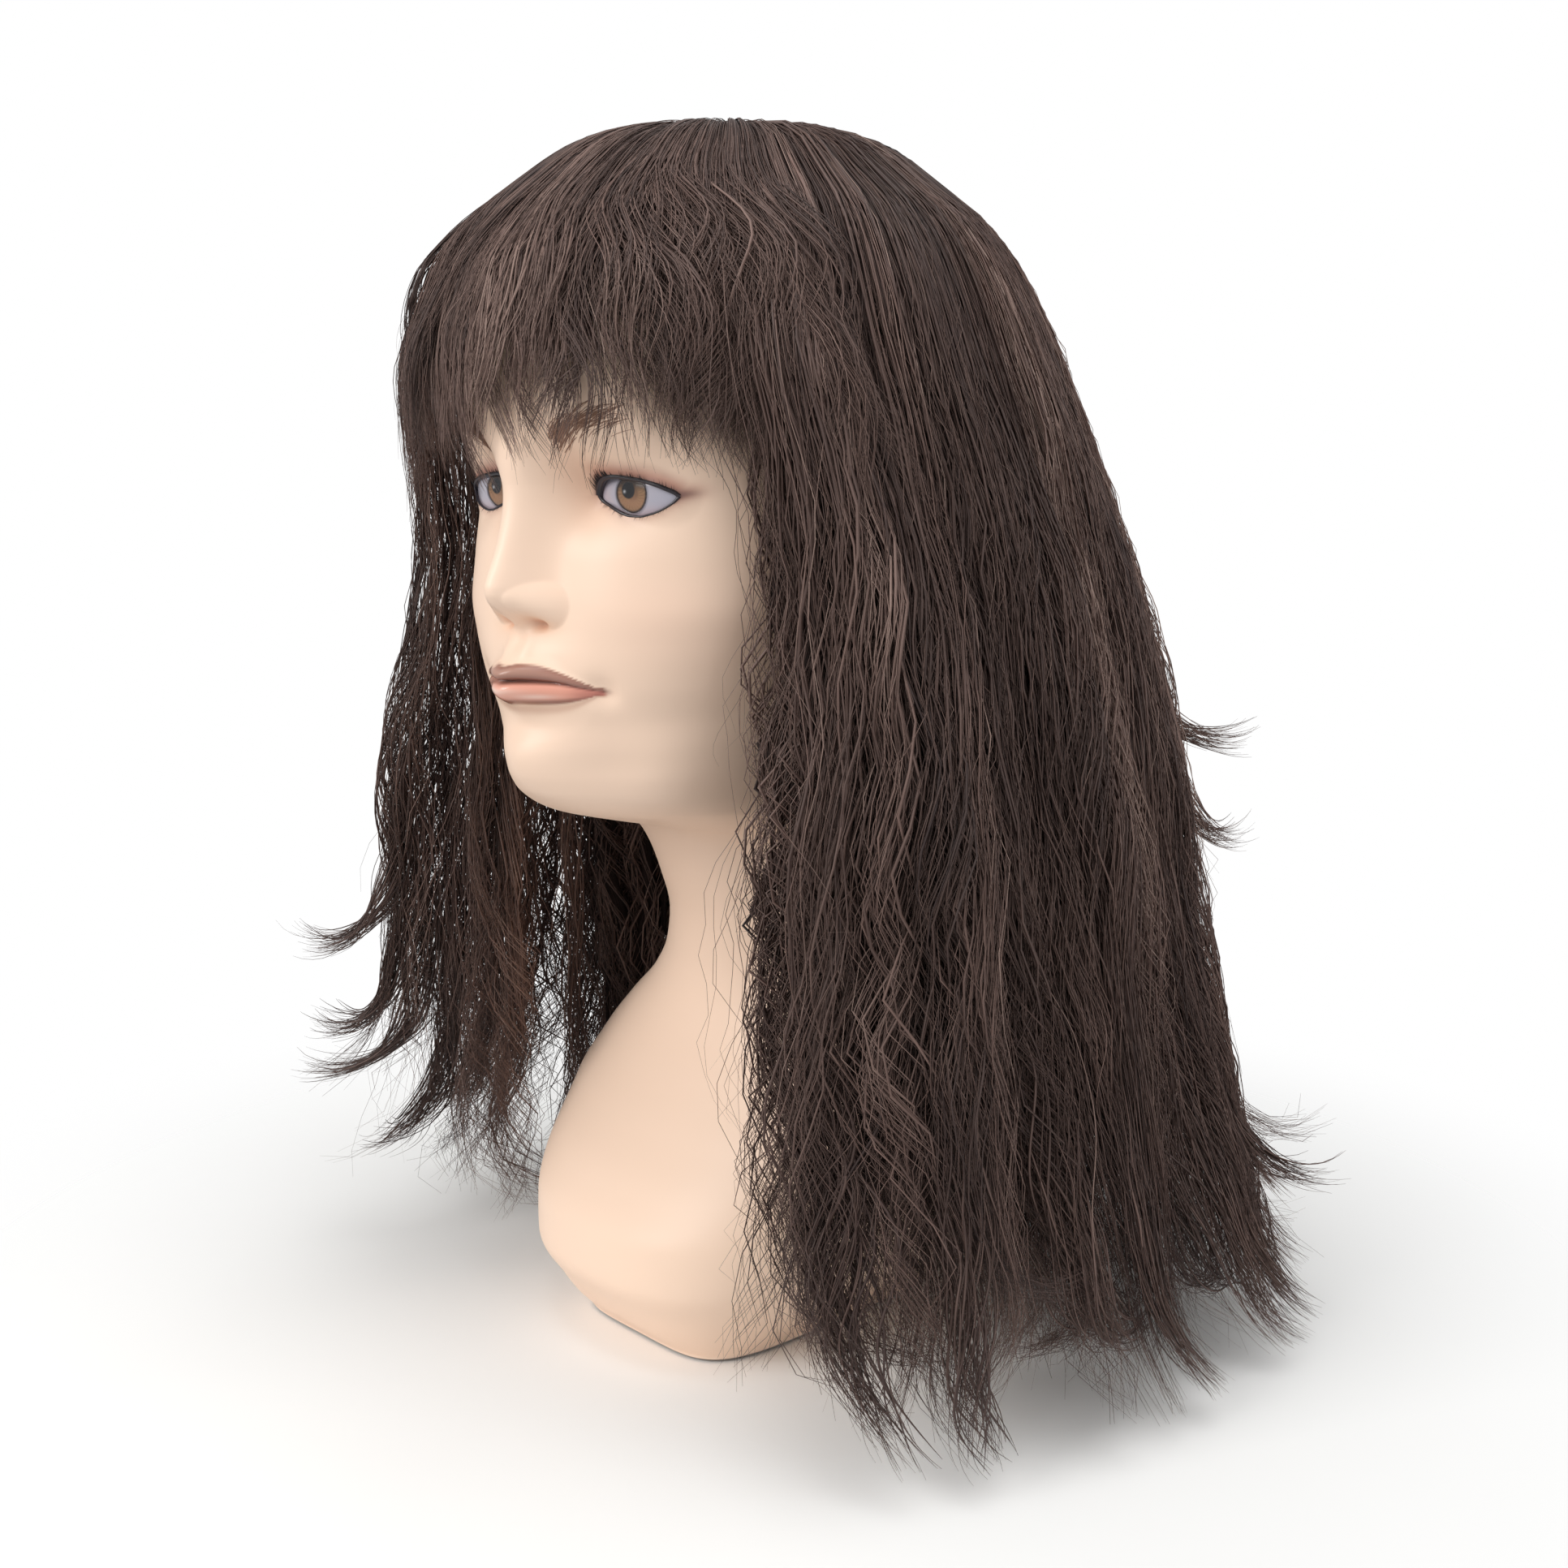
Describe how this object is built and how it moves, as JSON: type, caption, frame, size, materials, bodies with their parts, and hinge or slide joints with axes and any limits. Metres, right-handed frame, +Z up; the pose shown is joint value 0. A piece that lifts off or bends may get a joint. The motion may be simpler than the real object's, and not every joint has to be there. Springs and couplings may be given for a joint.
{
  "type": "mannequin training head",
  "caption": "Hollow moulded display and training bust with set-in eyes and a stand socket, wearing a removable long wavy dark brown wig with a fringe on an adjustable cap.",
  "frame": {"origin": "centre of the stand socket, on the plane the rubber feet rest on", "axes": "+Z up along the socket; the bust's chest faces -Y; the bust's own left side is +X"},
  "size_m": [0.3241, 0.3158, 0.4185],
  "materials": {
    "moulded_skin": "glossy sprayed skin tone over moulded shell, with hand-painted make-up",
    "glass_tape": "resin-wetted woven glass tape",
    "base_board": "sealed fibreboard",
    "socket_plastic": "moulded nylon",
    "zinc_screw": "zinc plated",
    "block_wood": "sawn softwood",
    "foot_rubber": "matt",
    "eye_white": "polished acrylic",
    "iris_print": "printed disc under the clear cap",
    "clear_acrylic": "polished clear acrylic",
    "eye_cup_plastic": "vacuum-formed sheet",
    "lash_fibre": "black fibre strip",
    "cap_net": "stretch net",
    "hairline_tape": "skin-tone lace tape",
    "skin_top": "skin-tone knotted patch",
    "stay_steel": "bare strip",
    "elastic": "woven elastic",
    "weft": "machine-sewn weft",
    "hook_plastic": "moulded nylon",
    "hair": "dark brown wavy fibre with a soft sheen"
  },
  "bodies": {
    "bust": {"front_shell": "moulded_skin", "rear_shell": "moulded_skin", "seam_tape": "glass_tape", "base_plate": "base_board", "stand_socket": "socket_plastic", "socket_screws": "zinc_screw", "corner_blocks": "block_wood", "base_screws": "zinc_screw", "rubber_feet": "foot_rubber", "left_eye": "eye_white", "right_eye": "eye_white", "left_iris": "iris_print", "right_iris": "iris_print", "left_cornea": "clear_acrylic", "right_cornea": "clear_acrylic", "eye_cups": "eye_cup_plastic", "left_lashes": "lash_fibre", "right_lashes": "lash_fibre"},
    "wig": {"cap_dome": "cap_net", "front_band": "hairline_tape", "crown_patch": "skin_top", "nape_curtain": "cap_net", "left_ear_tab": "cap_net", "right_ear_tab": "cap_net", "ear_tab_stays": "stay_steel", "nape_band": "elastic", "strap_keepers": "elastic", "loop_tape": "elastic", "cap_wefts": "weft", "crown_hair": "hair", "fringe_hair": "hair", "left_front_lock": "hair", "right_front_lock": "hair", "left_side_hair": "hair", "right_side_hair": "hair", "back_hair": "hair", "nape_hair": "hair"},
    "left_adjuster": {"left_adjuster_strap": "elastic", "left_adjuster_hook": "hook_plastic"},
    "right_adjuster": {"right_adjuster_strap": "elastic", "right_adjuster_hook": "hook_plastic"}
  },
  "joints": [
    {"name": "wig_lift", "type": "slide", "parent": "bust", "child": "wig", "axis": [0, 0, 1], "range_m": [0, 0.4]},
    {"name": "left_adjuster_slide", "type": "hinge", "parent": "wig", "child": "left_adjuster", "pos_m": [0, 0, 0.237], "axis": [0, 0, 1], "range_deg": [-8, 6]},
    {"name": "right_adjuster_slide", "type": "hinge", "parent": "wig", "child": "right_adjuster", "pos_m": [0, 0, 0.237], "axis": [0, 0, 1], "range_deg": [-6, 8]}
  ]
}
